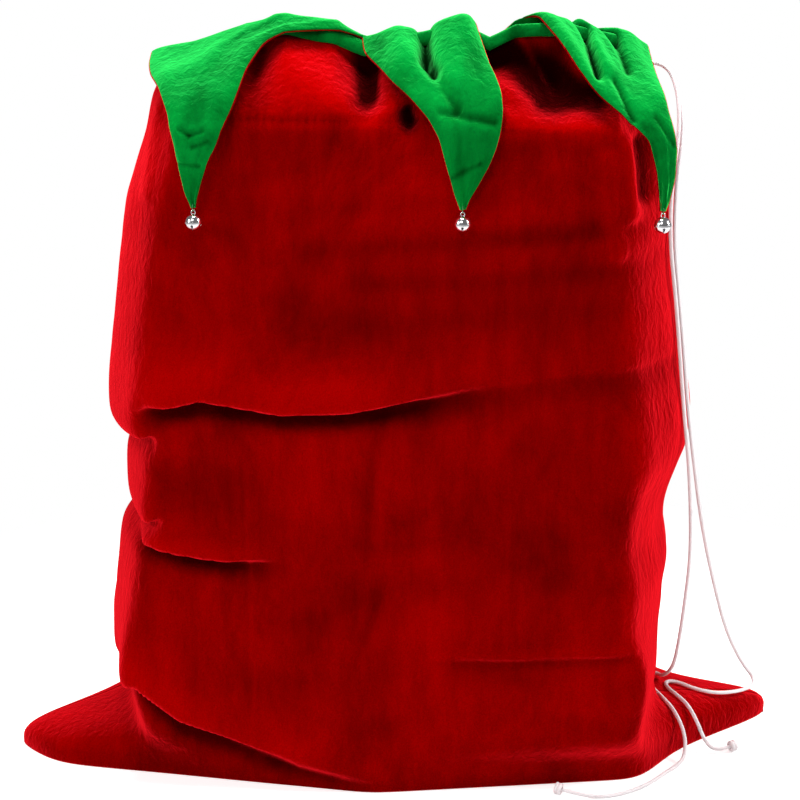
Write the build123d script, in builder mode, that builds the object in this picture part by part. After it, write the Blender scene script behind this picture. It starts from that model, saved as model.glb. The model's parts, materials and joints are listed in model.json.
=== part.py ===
"""Fabric gift sack: a turned-down collar of six petals, a jingle bell on each point, and a drawstring.

Frame: X runs across the sack, -Y is its front, Z is up, and the origin is on the floor under the sack.
The sack stands as a full one does, but it is empty. Millimetres.
"""

import os
from math import atan2, cos, pi, sin, tan

from build123d import *

# ---- driving dimensions ----
sack_width = 604.0  # across the side seams, at the widest
sack_depth = 304.0  # front to back, at the widest
shoulder_height = 675.0  # where the full body ends and the gathers start
neck_height = 713.0  # where the gathered neck becomes upright
rim_height = 745.0  # top edge of the velvet panels
mouth_width = 500.0  # neck, across
mouth_depth = 84.0  # neck, front to back
velvet = 2.0  # wall of the body panels
middle_petal_width = 133.0  # of the front and back middle petals, along the neck
middle_petal_shift = 34.0  # how far the middle petals sit to the right of centre
seam_radius = 22.0  # rounding of the body's corners in plan
body_seam_width = 56.0  # the narrow side of the body in plan, along the side seam
neck_seam_width = 44.0  # the same at the neck
neck_radius = 16.0  # rounding of the neck's corners in plan

cord_diameter = 4.0
cord_clearance = 0.3  # between the cord and its tunnel, all round
strand_pitch = 4.8  # between the two strands where they leave
casing_height = 24.0  # strip that holds the cord inside the neck
casing_thickness = 7.0
casing_below_rim = 4.0

collar_leg = 3.0  # thickness of the collar band
collar_drop = 12.0  # how far its outer leg hangs below the top of the panels
collar_inside = 34.0  # how far its inner leg hangs inside the mouth
collar_roll = 22.0  # height of its roll above the panels

petal_cloth = 2.0  # one layer: green face or red lining
petal_gap = 0.5  # running gap between a petal's hem and the collar band
petal_side_gap = 3.0  # from a petal's end to the valley, along the neck
petal_hinge_rise = 4.0  # hinge line above the top of the panels
bend_share = 0.35  # share of the drop spent on the way out over the shoulder
bend_radius = 14.0
drape_gap = 10.5  # between the middle of a hanging petal and the body, level with the bells
tip_height = 605.0  # lower end of every petal
tip_radius = 4.5

bell_radius = 8.0
bell_wall = 0.6
slot_width = 1.6
slot_top = 3.0  # below the bell's middle
slot_end_radius = 1.3
crimp_width = 0.5
crimp_height = 1.4
crimp_bite = 0.3
shank_radius = 1.9  # of the ring's middle line
shank_wire = 0.5  # radius of the ring's wire
shank_bury = 0.8
pea_radius = 2.2
pea_clearance = 0.3
thread_radius = 0.4
thread_loop = 3.5  # radius of the loop of thread that ties a bell on
thread_lift = 0.35  # how far the loop sits above the middle of its hole
thread_slack = 0.2  # between the thread and the bell's ring
thread_hole = 1.0  # radius of the hole that the thread makes in the petal
thread_edge = 3.2  # from that hole to the petal's end

# Height, half width, half depth and sideways lean of the body, as shares of its height, width, depth and
# width, then the place of its four box corners as a share of the half width.
stations = [
    (0.0, 0.427, 0.455, -0.008, 0.90),
    (0.104, 0.477, 0.500, -0.030, 0.86),
    (0.296, 0.477, 0.480, -0.013, 0.83),
    (0.593, 0.500, 0.454, 0.0, 0.80),
    (0.830, 0.470, 0.428, 0.0, 0.80),
    (1.0, 0.440, 0.388, 0.007, 0.80),
]
bell_station = stations[4]

# Each ear, a bottom corner of the sack squeezed flat: side, centre and half length along Y where it leaves
# the body, the same at its end, its reach from the middle, and its height at both places.
ears = [
    (-1, -43.0, 83.0, -58.0, 24.0, 424.0, 50.0, 22.0),
    (1, 35.0, 105.0, 77.0, 17.0, 434.0, 50.0, 22.0),
]
ear_root = 225.0  # how far out the ears start, inside the body
ear_edge_radius = 9.0

os.makedirs("parts", exist_ok=True)


def write(part, name):
    """Labels a finished piece and writes it as its own STEP file."""
    part.label = name
    export_step(part, f"parts/{name}.step")


# ---- plan outlines ----
def inset_corners(corners, inset):
    """The corners of an anticlockwise outline after every edge has moved inward by the inset."""
    moved = []
    for i, corner in enumerate(corners):
        here = Vector(*corner)
        before = (here - Vector(*corners[i - 1])).normalized()
        after = (Vector(*corners[(i + 1) % len(corners)]) - here).normalized()
        inward = Vector(-before.Y, before.X) + Vector(-after.Y, after.X)
        place = here + inward * (inset / (1 + before.dot(after)))
        moved.append((place.X, place.Y))
    return moved


def body_corners(station):
    """The corners of the body in plan, from the front of the left side seam round to its back."""
    _, width, depth, lean, corner = station
    half_width = width * sack_width
    half_depth = depth * sack_depth
    shift = lean * sack_width
    seam = body_seam_width / 2
    return [
        (shift - half_width, -seam),
        (shift - corner * half_width, -half_depth),
        (shift + corner * half_width, -half_depth),
        (shift + half_width, -seam),
        (shift + half_width, seam),
        (shift + corner * half_width, half_depth),
        (shift - corner * half_width, half_depth),
        (shift - half_width, seam),
    ]


half_mouth = mouth_width / 2
left_valley = middle_petal_shift - middle_petal_width / 2
right_valley = middle_petal_shift + middle_petal_width / 2
neck_corners = [
    (-half_mouth, -neck_seam_width / 2),
    (left_valley, -mouth_depth / 2),
    (right_valley, -mouth_depth / 2),
    (half_mouth, -neck_seam_width / 2),
    (half_mouth, neck_seam_width / 2),
    (right_valley, mouth_depth / 2),
    (left_valley, mouth_depth / 2),
    (-half_mouth, neck_seam_width / 2),
]


# ---- sack body: one front and one back velvet panel, sewn at the sides and the base ----
def sack_solid(inset):
    """The full shape of the sack moved in by the inset: body, gathered shoulder and upright neck."""
    top_corners = inset_corners(body_corners(stations[-1]), inset)
    mouth_corners = inset_corners(neck_corners, inset)
    with BuildPart() as body:
        for station in stations:
            corners = inset_corners(body_corners(station), inset)
            with BuildSketch(Plane.XY.offset(max(station[0] * shoulder_height, inset))) as plan:
                Polygon(*corners, align=None)
                fillet(plan.vertices(), seam_radius - inset)
        loft(ruled=True)
    with BuildPart() as shoulder:
        with BuildSketch(Plane.XY.offset(shoulder_height)) as lower:
            Polygon(*top_corners, align=None)
            fillet(lower.vertices(), seam_radius - inset)
        with BuildSketch(Plane.XY.offset(neck_height)) as upper:
            Polygon(*mouth_corners, align=None)
            fillet(upper.vertices(), neck_radius - inset)
        loft(ruled=True)
    with BuildPart() as neck:
        with BuildSketch(Plane.XY.offset(neck_height)) as mouth:
            Polygon(*mouth_corners, align=None)
            fillet(mouth.vertices(), neck_radius - inset)
        extrude(amount=rim_height - neck_height + inset)
    return body.part + shoulder.part + neck.part


def ear_solid(ear, inset):
    """One ear moved in by the inset: a wedge that runs outward and gets lower and narrower."""
    side, centre, half, end_centre, end_half, reach, height, end_height = ear
    with BuildPart() as wedge:
        with BuildSketch(Plane.YZ.offset(side * ear_root)):
            with Locations((centre, height / 2)):
                Rectangle(2 * half - 2 * inset, height - 2 * inset)
        with BuildSketch(Plane.YZ.offset(side * (reach - inset))):
            with Locations((end_centre, end_height / 2)):
                Rectangle(2 * end_half - 2 * inset, end_height - 2 * inset)
        loft(ruled=True)
        end_face = wedge.faces().sort_by(Axis.X)[-1 if side > 0 else 0]
        fillet(end_face.edges().filter_by(Axis.Z), end_half * 0.7)
        top_face = wedge.faces().sort_by(Axis.Z)[-1]
        fillet(top_face.edges().filter_by(Axis.Y, reverse=True), ear_edge_radius - inset)
    return wedge.part


outer = sack_solid(0.0)
inner = sack_solid(velvet)
for ear in ears:
    outer = outer + ear_solid(ear, 0.0)
    inner = inner + ear_solid(ear, velvet)
cord_height = rim_height - casing_below_rim - casing_height / 2
cord_gap_height = cord_diameter + 2.0
cord_gap_width = strand_pitch + cord_diameter + 2.0

with BuildPart() as sack:
    add(outer)
    add(inner, mode=Mode.SUBTRACT)
    # The side seam is left open on the right, where the drawstring comes out.
    with Locations((half_mouth, 0, cord_height)):
        Box(40, cord_gap_width, cord_gap_height, mode=Mode.SUBTRACT)

with BuildPart() as front_panel:
    add(sack.part)
    split(bisect_by=Plane.XZ, keep=Keep.TOP)
write(front_panel.part, "front_panel")

with BuildPart() as back_panel:
    add(sack.part)
    split(bisect_by=Plane.XZ, keep=Keep.BOTTOM)
write(back_panel.part, "back_panel")

# ---- drawstring: the run inside the casing, with both ends out of the right side seam ----
run_corners = inset_corners(neck_corners, velvet + casing_thickness / 2)
seam_end = half_mouth + 0.5
strand_y = strand_pitch / 2
run_radius = 9.0
run_exit_radius = 4.2


def run_solid(radius, end):
    """A round bar along the drawstring's way round the neck, for the cord or for its tunnel."""
    turn = run_corners[3][0]
    points = [(end, -strand_y), (turn, -strand_y)]
    points += [run_corners[3], run_corners[2], run_corners[1], run_corners[0]]
    points += [run_corners[7], run_corners[6], run_corners[5], run_corners[4]]
    points += [(turn, strand_y), (end, strand_y)]
    radii = [run_exit_radius] + 8 * [run_radius] + [run_exit_radius]
    with BuildPart() as run:
        with BuildLine(Plane.XY.offset(cord_height)) as line:
            FilletPolyline(*points, radius=radii)
        with BuildSketch(Plane.YZ.offset(end)):
            with Locations((-strand_y, cord_height)):
                Circle(radius)
        sweep(path=line.wire())
    return run.part


write(run_solid(cord_diameter / 2, seam_end), "drawstring_run")
tunnel = run_solid(cord_diameter / 2 + cord_clearance, seam_end + 6.0)

with BuildPart() as casing:
    with BuildSketch(Plane.XY.offset(cord_height - casing_height / 2)) as casing_plan:
        Polygon(*inset_corners(neck_corners, velvet), align=None)
        fillet(casing_plan.vertices(), neck_radius - velvet)
    extrude(amount=casing_height)
    with BuildSketch(Plane.XY.offset(cord_height - casing_height / 2)) as casing_hole:
        Polygon(*inset_corners(neck_corners, velvet + casing_thickness), align=None)
        fillet(casing_hole.vertices(), neck_radius - velvet - casing_thickness)
    extrude(amount=casing_height, mode=Mode.SUBTRACT)
    add(tunnel, mode=Mode.SUBTRACT)

with BuildPart() as casing_front:
    add(casing.part)
    split(bisect_by=Plane.XZ, keep=Keep.TOP)
write(casing_front.part, "casing_strip_front")

with BuildPart() as casing_back:
    add(casing.part)
    split(bisect_by=Plane.XZ, keep=Keep.BOTTOM)
write(casing_back.part, "casing_strip_back")

# ---- collar band: folded over the mouth, the petals are sewn to its outer edge ----
def neck_block(inset, low, high):
    """A solid with the neck's outline moved in by the inset, between two heights."""
    with BuildPart() as block:
        with BuildSketch(Plane.XY.offset(low)) as plan:
            Polygon(*inset_corners(neck_corners, inset), align=None)
            fillet(plan.vertices(), neck_radius - inset)
        extrude(amount=high - low)
    return block.part


seat_inset = velvet + casing_thickness
collar_top = rim_height + collar_roll
band_bottom = rim_height - collar_inside
band_outside = neck_block(-collar_leg, rim_height - collar_drop, collar_top)
band_seat = neck_block(0.0, rim_height - collar_drop, rim_height)
band_inside = neck_block(seat_inset, band_bottom, rim_height)
band_mouth = neck_block(seat_inset + collar_leg, band_bottom, collar_top)
with BuildPart() as collar_band:
    add(band_outside)
    fillet(collar_band.faces().sort_by(Axis.Z)[-1].edges(), 2 * collar_leg)
    add(band_seat, mode=Mode.SUBTRACT)
    add(band_inside)
    add(band_mouth, mode=Mode.SUBTRACT)
write(collar_band.part, "collar_band")

# ---- petals: a green face and a red lining each, bent over the shoulder and cut to a point ----
# Each hangs between two corners of the neck; the place of its tip along that edge is a share of the edge.
petals = {
    "front_left": (0, 1, 0.32),
    "front_middle": (1, 2, 0.75),
    "front_right": (2, 3, 0.95),
    "back_right": (4, 5, 0.20),
    "back_middle": (5, 6, 0.50),
    "back_left": (6, 7, 0.68),
}
hinge_height = rim_height + petal_hinge_rise
petal_drop = hinge_height - tip_height
hinge_out = collar_leg + petal_gap + petal_cloth


def petal_place(start, end, share):
    """Where a petal hangs: its frame on the hinge line over the tip (X along the neck, -Y outward), its
    length to both sides of the tip, and how far out it hangs."""
    first = Vector(*neck_corners[start])
    last = Vector(*neck_corners[end])
    along = (last - first).normalized()
    out = along.cross(Vector(0, 0, 1))
    length = (last - first).length
    reach = max((Vector(*corner) - first).dot(out) for corner in body_corners(bell_station))
    origin = first + along * (length * share) + out * hinge_out + Vector(0, 0, hinge_height)
    before = length * share - petal_side_gap
    after = length * (1 - share) - petal_side_gap
    return Plane(origin, x_dir=along, z_dir=(0, 0, 1)), before, after, reach + drape_gap - hinge_out


def petal_layer(before, after, reach, shift):
    """One layer of a petal, in the petal's own frame, its middle line that far outside the petal's middle."""
    bend = bend_share * petal_drop
    slope = atan2(bend, reach)
    path = [
        (-shift * sin(slope), shift * cos(slope)),
        (-reach - shift, shift * tan((pi / 2 - slope) / 2) - bend),
        (-reach - shift, -petal_drop - 6.0),
    ]
    length = (reach**2 + petal_drop**2) ** 0.5
    half_angle = (atan2(before, length) + atan2(after, length)) / 2
    apex = length + tip_radius / sin(half_angle) - tip_radius
    width = before + after
    with BuildPart() as layer:
        with BuildSketch(Plane.YZ.offset(-before)):
            with BuildLine():
                FilletPolyline(*path, radius=bend_radius + shift)
            trace(line_width=petal_cloth)
        extrude(amount=width)
        with Locations(Location(((after - before) / 2, 0, 0), (0, 90, 0))):
            Cylinder(petal_cloth, width, mode=Mode.ADD if shift > 0 else Mode.SUBTRACT)
        with BuildSketch(Plane((0, 0, 0), x_dir=(1, 0, 0), z_dir=(0, -petal_drop, reach))) as point:
            Polygon(
                (-before, 2.0 * petal_cloth),
                (-before, -0.03 * length),
                (0, -apex),
                (after, -0.03 * length),
                (after, 2.0 * petal_cloth),
                align=None,
            )
            fillet(point.vertices().sort_by(Axis.Y)[0], tip_radius)
        extrude(amount=reach + petal_drop, both=True, mode=Mode.INTERSECT)
        with Locations(Location((0, -reach, hole_z), (90, 0, 0))):
            Cylinder(thread_hole, 8 * petal_cloth, mode=Mode.SUBTRACT)
    return layer.part


# Heights of a bell's pieces below the hinge line: each hangs on the one above.
hole_z = thread_edge - petal_drop
loop_z = hole_z + thread_lift - thread_loop
shank_z = loop_z - thread_loop + thread_radius + thread_slack - (shank_radius - shank_wire)
bell_z = shank_z - shank_radius - shank_wire + shank_bury - bell_radius
pea_drop = bell_radius - bell_wall - pea_radius - pea_clearance
big = 3 * bell_radius

with BuildPart() as bell_cap:
    Sphere(bell_radius)
    Sphere(bell_radius - bell_wall, mode=Mode.SUBTRACT)
    Box(big, big, big, align=(Align.CENTER, Align.CENTER, Align.MAX), mode=Mode.SUBTRACT)
    Cylinder(bell_radius + crimp_width, crimp_height)
    Cylinder(bell_radius - crimp_bite, crimp_height, mode=Mode.SUBTRACT)
    with Locations((0, 0, -crimp_height / 2)):
        Cylinder(bell_radius, crimp_height, mode=Mode.SUBTRACT)
    with Locations(Location((0, 0, bell_radius + shank_radius + shank_wire - shank_bury), (90, 0, 0))):
        Torus(shank_radius, shank_wire)

with BuildPart() as bell_cup:
    Sphere(bell_radius)
    Sphere(bell_radius - bell_wall, mode=Mode.SUBTRACT)
    Box(big, big, big, align=(Align.CENTER, Align.CENTER, Align.MIN), mode=Mode.SUBTRACT)
    with Locations((0, 0, -slot_top)):
        Box(slot_width, big, big, align=(Align.CENTER, Align.CENTER, Align.MAX), mode=Mode.SUBTRACT)
        Box(big, slot_width, big, align=(Align.CENTER, Align.CENTER, Align.MAX), mode=Mode.SUBTRACT)
        Cylinder(slot_end_radius, big, rotation=(90, 0, 0), mode=Mode.SUBTRACT)
        Cylinder(slot_end_radius, big, rotation=(0, 90, 0), mode=Mode.SUBTRACT)

with BuildPart() as bell_pea:
    Sphere(pea_radius)

with BuildPart() as bell_thread:
    Torus(thread_loop, thread_radius, rotation=(0, 90, 0))

print("hinge height", hinge_height, "loop, thread bottom, bell and pea below it:")
print([round(z, 3) for z in (loop_z, loop_z - thread_loop, bell_z, bell_z - pea_drop)], pea_drop)
for name, (start, end, share) in petals.items():
    place, before, after, reach = petal_place(start, end, share)
    print(name, [round(v, 3) for v in place.origin], [round(v, 5) for v in place.x_dir], round(reach, 3))
    face = petal_layer(before, after, reach, petal_cloth / 2)
    lining = petal_layer(before, after, reach, -petal_cloth / 2)
    hung = place.location * Pos(0, -reach, 0)
    write(place.location * face, f"petal_face_{name}")
    write(place.location * lining, f"petal_lining_{name}")
    write(hung * Pos(0, 0, loop_z) * bell_thread.part, f"bell_thread_{name}")
    write(hung * Pos(0, 0, bell_z) * bell_cap.part, f"bell_cap_{name}")
    write(hung * Pos(0, 0, bell_z) * bell_cup.part, f"bell_cup_{name}")
    write(hung * Pos(0, 0, bell_z - pea_drop) * bell_pea.part, f"bell_pea_{name}")

# ---- drawstring tails: both ends of the cord hang down the right side and lie over the right ear ----
front_tail = [
    (250.5, -2.4, 729.0),
    (265.0, -2.4, 729.0),
    (277.0, -14.0, 706.0),
    (279.0, -36.0, 668.0),
    (271.0, -58.0, 618.0),
    (271.0, -63.0, 560.0),
    (279.0, -59.0, 503.0),
    (285.0, -63.0, 446.0),
    (291.0, -60.0, 389.0),
    (298.0, -64.0, 333.0),
    (303.0, -57.0, 277.0),
    (305.0, -50.0, 222.0),
    (302.0, -39.0, 168.0),
    (299.0, -21.0, 116.0),
    (296.0, 4.0, 76.0),
    (287.0, 28.0, 56.0),
    (283.0, 46.0, 51.5),
    (274.0, 54.0, 51.0),
    (266.0, 45.0, 51.2),
    (271.0, 27.0, 51.5),
    (275.0, 6.0, 51.5),
    (285.0, -16.0, 50.0),
    (297.0, -38.0, 44.0),
    (307.0, -54.0, 24.0),
    (306.0, -68.0, 6.5),
    (297.0, -83.0, 2.4),
    (284.0, -99.0, 2.4),
    (272.0, -117.0, 2.4),
    (257.0, -135.0, 2.4),
    (236.0, -151.0, 2.4),
    (212.0, -160.0, 2.4),
    (188.0, -158.0, 4.6),
    (167.0, -150.0, 7.2),
]
back_tail = [
    (250.5, 2.4, 729.0),
    (265.0, 2.4, 729.0),
    (279.0, -4.0, 704.0),
    (283.0, -27.0, 666.0),
    (276.0, -50.0, 615.0),
    (276.0, -56.0, 557.0),
    (283.0, -52.0, 500.0),
    (290.0, -56.0, 443.0),
    (296.0, -53.0, 386.0),
    (304.0, -56.0, 330.0),
    (313.0, -40.0, 276.0),
    (324.0, -20.0, 223.0),
    (337.0, 1.0, 172.0),
    (350.0, 22.0, 124.0),
    (365.0, 44.0, 85.0),
    (379.0, 61.0, 57.0),
    (390.0, 67.0, 42.0),
    (391.0, 56.0, 36.5),
    (379.0, 42.0, 36.0),
    (361.0, 29.0, 38.0),
    (342.0, 20.0, 41.0),
    (321.0, 24.0, 44.0),
    (303.0, 36.0, 47.0),
    (290.0, 31.0, 48.5),
    (292.0, 15.0, 48.0),
    (301.0, -1.0, 47.0),
    (312.0, -18.0, 43.0),
    (321.0, -32.0, 30.0),
    (328.0, -42.0, 14.0),
    (337.0, -48.0, 5.5),
    (350.0, -46.0, 6.0),
    (362.0, -39.0, 7.4),
]
knot_ring = cord_diameter / 2 * 2.1
knot_wire = cord_diameter / 2


def corner_radii(points):
    """The radius of each turn of a cord, from its shorter run and the angle it turns through."""
    radii = []
    for before, here, after in zip(points, points[1:], points[2:]):
        first = Vector(*here) - Vector(*before)
        last = Vector(*after) - Vector(*here)
        turn = first.get_angle(last) / 180 * pi
        radii.append(round(0.45 * min(first.length, last.length) / tan(turn / 2), 1))
    return radii


for name, points in (("front", front_tail), ("back", back_tail)):
    radii = corner_radii(points)
    print("drawstring_tail_" + name, radii)
    with BuildPart() as tail:
        with BuildLine() as tail_line:
            FilletPolyline(*points, radius=radii)
        with BuildSketch(Plane(tail_line.line @ 0, z_dir=tail_line.line % 0)):
            Circle(cord_diameter / 2)
        sweep(path=tail_line.wire())
    write(tail.part, "drawstring_tail_" + name)
    print("length", round(tail_line.wire().length, 1), "volume", round(tail.part.volume, 1))
    # The knot at the free end: two turns of the cord drawn tight round itself.
    heading = (Vector(*points[-1]) - Vector(*points[-2])).normalized()
    with BuildPart() as knot:
        for back in (0.5, 1.4):
            centre = Vector(*points[-1]) - heading * (back * cord_diameter)
            with Locations(Plane(centre, z_dir=heading).location):
                Torus(knot_ring, knot_wire)
    write(knot.part, "drawstring_knot_" + name)
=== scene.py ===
"""Looks of the fabric gift sack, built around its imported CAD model. Metres; X across, -Y the front, Z up."""

import json
import math

import bpy
import numpy as np
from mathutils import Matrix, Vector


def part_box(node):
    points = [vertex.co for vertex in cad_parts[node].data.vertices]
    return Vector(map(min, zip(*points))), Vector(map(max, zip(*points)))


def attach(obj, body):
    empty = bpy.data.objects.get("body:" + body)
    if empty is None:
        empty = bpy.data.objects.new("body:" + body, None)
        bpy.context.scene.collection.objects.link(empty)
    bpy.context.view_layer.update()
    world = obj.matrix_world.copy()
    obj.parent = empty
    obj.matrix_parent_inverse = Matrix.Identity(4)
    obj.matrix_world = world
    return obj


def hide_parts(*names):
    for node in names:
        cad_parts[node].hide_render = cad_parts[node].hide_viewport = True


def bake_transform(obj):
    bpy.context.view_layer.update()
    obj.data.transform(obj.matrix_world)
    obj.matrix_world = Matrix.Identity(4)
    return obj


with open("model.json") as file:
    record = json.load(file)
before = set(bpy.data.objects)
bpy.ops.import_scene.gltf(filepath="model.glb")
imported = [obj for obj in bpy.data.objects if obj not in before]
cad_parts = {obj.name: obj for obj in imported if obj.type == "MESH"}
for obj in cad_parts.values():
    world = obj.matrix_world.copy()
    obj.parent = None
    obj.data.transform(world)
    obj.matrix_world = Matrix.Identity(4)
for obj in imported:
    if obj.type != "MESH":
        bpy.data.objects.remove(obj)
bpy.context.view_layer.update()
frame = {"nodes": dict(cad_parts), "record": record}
scene = bpy.context.scene
scene.view_settings.view_transform = "Standard"
MM = 0.001

# ---- camera ----
# A long lens a little above the sack, looking down on the mouth and very slightly from the right.
camera_turn = math.radians(3.0)
camera_pitch = math.radians(16.0)
camera_distance = 2.2
aim = np.array([0.0, 0.0, 0.375])
towards_camera = np.array(
    [
        math.cos(camera_pitch) * math.sin(camera_turn),
        -math.cos(camera_pitch) * math.cos(camera_turn),
        math.sin(camera_pitch),
    ]
)
camera_data = bpy.data.cameras.new("camera")
camera_data.sensor_width = 36.0
camera_data.lens = 94.3
camera = bpy.data.objects.new("camera", camera_data)
camera.location = aim + camera_distance * towards_camera
camera.rotation_euler = (math.pi / 2 - camera_pitch, 0.0, camera_turn)
scene.collection.objects.link(camera)
scene.camera = camera


# ---- light and floor ----
# Four large soft lamps: one above, one to each side and one low in front; the white floor keeps a faint shadow.
def aimed_lamp(name, place, size, power):
    """An area lamp whose -Z axis points from its place to the middle of the sack."""
    data = bpy.data.lights.new(name, "AREA")
    data.energy = power
    data.shape = "SQUARE"
    data.size = size
    thing = bpy.data.objects.new(name, data)
    thing.location = place
    x, y, z = np.asarray(place) - aim
    thing.rotation_euler = (math.atan2(math.hypot(x, y), z), 0.0, math.atan2(y, x) + math.pi / 2)
    scene.collection.objects.link(thing)


aimed_lamp("lamp_above", (-0.1, 0.1, 2.5), 0.9, 52.0)
aimed_lamp("lamp_right", (2.1, 0.0, 1.5), 0.8, 40.0)
aimed_lamp("lamp_left", (-2.0, -1.2, 1.5), 0.8, 24.0)
aimed_lamp("lamp_front", (-0.6, -2.1, 2.3), 0.9, 18.0)

world = bpy.data.worlds.new("studio")
scene.world = world
world.use_nodes = True
world_nodes = world.node_tree.nodes
world_links = world.node_tree.links
world_nodes.clear()
world_out = world_nodes.new("ShaderNodeOutputWorld")
room_light = world_nodes.new("ShaderNodeBackground")
room_light.inputs["Color"].default_value = (1.0, 1.0, 1.0, 1.0)
room_light.inputs["Strength"].default_value = 0.16
white_back = world_nodes.new("ShaderNodeBackground")
white_back.inputs["Color"].default_value = (1.0, 1.0, 1.0, 1.0)
white_back.inputs["Strength"].default_value = 1.0
rays = world_nodes.new("ShaderNodeLightPath")
back_mix = world_nodes.new("ShaderNodeMixShader")
world_links.new(rays.outputs["Is Camera Ray"], back_mix.inputs["Fac"])
world_links.new(room_light.outputs[0], back_mix.inputs[1])
world_links.new(white_back.outputs[0], back_mix.inputs[2])
world_links.new(back_mix.outputs[0], world_out.inputs["Surface"])

floor_mesh = bpy.data.meshes.new("floor")
floor_half = 6.0
floor_corners = [(-floor_half, -floor_half, 0), (floor_half, -floor_half, 0)]
floor_corners += [(floor_half, floor_half, 0), (-floor_half, floor_half, 0)]
floor_mesh.from_pydata(floor_corners, [], [(0, 1, 2, 3)])
floor = bpy.data.objects.new("floor", floor_mesh)
scene.collection.objects.link(floor)
floor_paint = bpy.data.materials.new("floor_paint")
floor_paint.use_nodes = True
floor_nodes = floor_paint.node_tree.nodes
floor_links = floor_paint.node_tree.links
floor_surface = floor_nodes["Principled BSDF"]
floor_surface.inputs["Base Color"].default_value = (0.9, 0.9, 0.9, 1.0)
floor_surface.inputs["Roughness"].default_value = 0.9
floor_surface.inputs["Specular IOR Level"].default_value = 0.0
floor_glow = floor_nodes.new("ShaderNodeEmission")
floor_glow.inputs["Strength"].default_value = 0.55
floor_rays = floor_nodes.new("ShaderNodeLightPath")
floor_add = floor_nodes.new("ShaderNodeAddShader")
floor_mix = floor_nodes.new("ShaderNodeMixShader")
floor_links.new(floor_surface.outputs[0], floor_add.inputs[0])
floor_links.new(floor_glow.outputs[0], floor_add.inputs[1])
floor_links.new(floor_rays.outputs["Is Camera Ray"], floor_mix.inputs["Fac"])
floor_links.new(floor_surface.outputs[0], floor_mix.inputs[1])
# Seen by the camera, the floor fades to plain white away from the sack, so that it has no visible edge.
floor_place = floor_nodes.new("ShaderNodeTexCoord")
floor_far = floor_nodes.new("ShaderNodeVectorMath")
floor_far.operation = "LENGTH"
floor_fade = floor_nodes.new("ShaderNodeMapRange")
floor_fade.interpolation_type = "SMOOTHSTEP"
floor_fade.inputs["From Min"].default_value = 0.45
floor_fade.inputs["From Max"].default_value = 0.85
floor_white = floor_nodes.new("ShaderNodeEmission")
floor_white.inputs["Strength"].default_value = 1.0
floor_seen = floor_nodes.new("ShaderNodeMixShader")
floor_links.new(floor_place.outputs["Object"], floor_far.inputs[0])
floor_links.new(floor_far.outputs["Value"], floor_fade.inputs["Value"])
floor_links.new(floor_fade.outputs["Result"], floor_seen.inputs["Fac"])
floor_links.new(floor_add.outputs[0], floor_seen.inputs[1])
floor_links.new(floor_white.outputs[0], floor_seen.inputs[2])
floor_links.new(floor_seen.outputs[0], floor_mix.inputs[2])
floor_links.new(floor_mix.outputs[0], floor_nodes["Material Output"].inputs["Surface"])
floor_mesh.materials.append(floor_paint)


# ---- sack body ----
# Two flat panels of red velvet, sewn together at the sides and along the middle of the base. What filled the
# sack has left a boxy body with slumped folds, and the bottom corners poke out to both sides as flat ears.
def blur(field, width, axis, mode):
    """Averages an array along one axis with a bell-shaped weight whose width is counted in cells."""
    reach = int(3 * width) + 1
    weights = np.exp(-0.5 * (np.arange(-reach, reach + 1) / width) ** 2)
    weights /= weights.sum()
    pad = [(0, 0)] * field.ndim
    pad[axis] = (reach, reach)
    padded = np.pad(field, pad, mode=mode)
    count = field.shape[axis]
    return sum(w * np.take(padded, np.arange(i, i + count), axis=axis) for i, w in enumerate(weights))


def noise(rows, columns, tall, wide, seed):
    """Random numbers from a seed, averaged over tall rows and wide columns (which close up), scaled to +-1."""
    field = np.random.default_rng(seed).standard_normal((rows, columns))
    field = blur(blur(field, tall, 0, "reflect"), wide, 1, "wrap")
    return field / np.abs(field).max()


def step(x, low, high):
    """0 below low, 1 above high, and a smooth S between them."""
    t = np.clip((x - low) / (high - low), 0.0, 1.0)
    return t * t * (3.0 - 2.0 * t)


def bell(x, middle, width):
    """A bell curve of height 1."""
    return np.exp(-(((x - middle) / width) ** 2))


def groove(u, v, start, end, width):
    """A bell curve of the distance from each place (u, v) to the straight line between two places."""
    run_u, run_v = end[0] - start[0], end[1] - start[1]
    share = np.clip(((u - start[0]) * run_u + (v - start[1]) * run_v) / (run_u**2 + run_v**2), 0.0, 1.0)
    away = np.hypot(u - start[0] - share * run_u, v - start[1] - share * run_v)
    return np.exp(-((away / width) ** 2))


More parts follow.
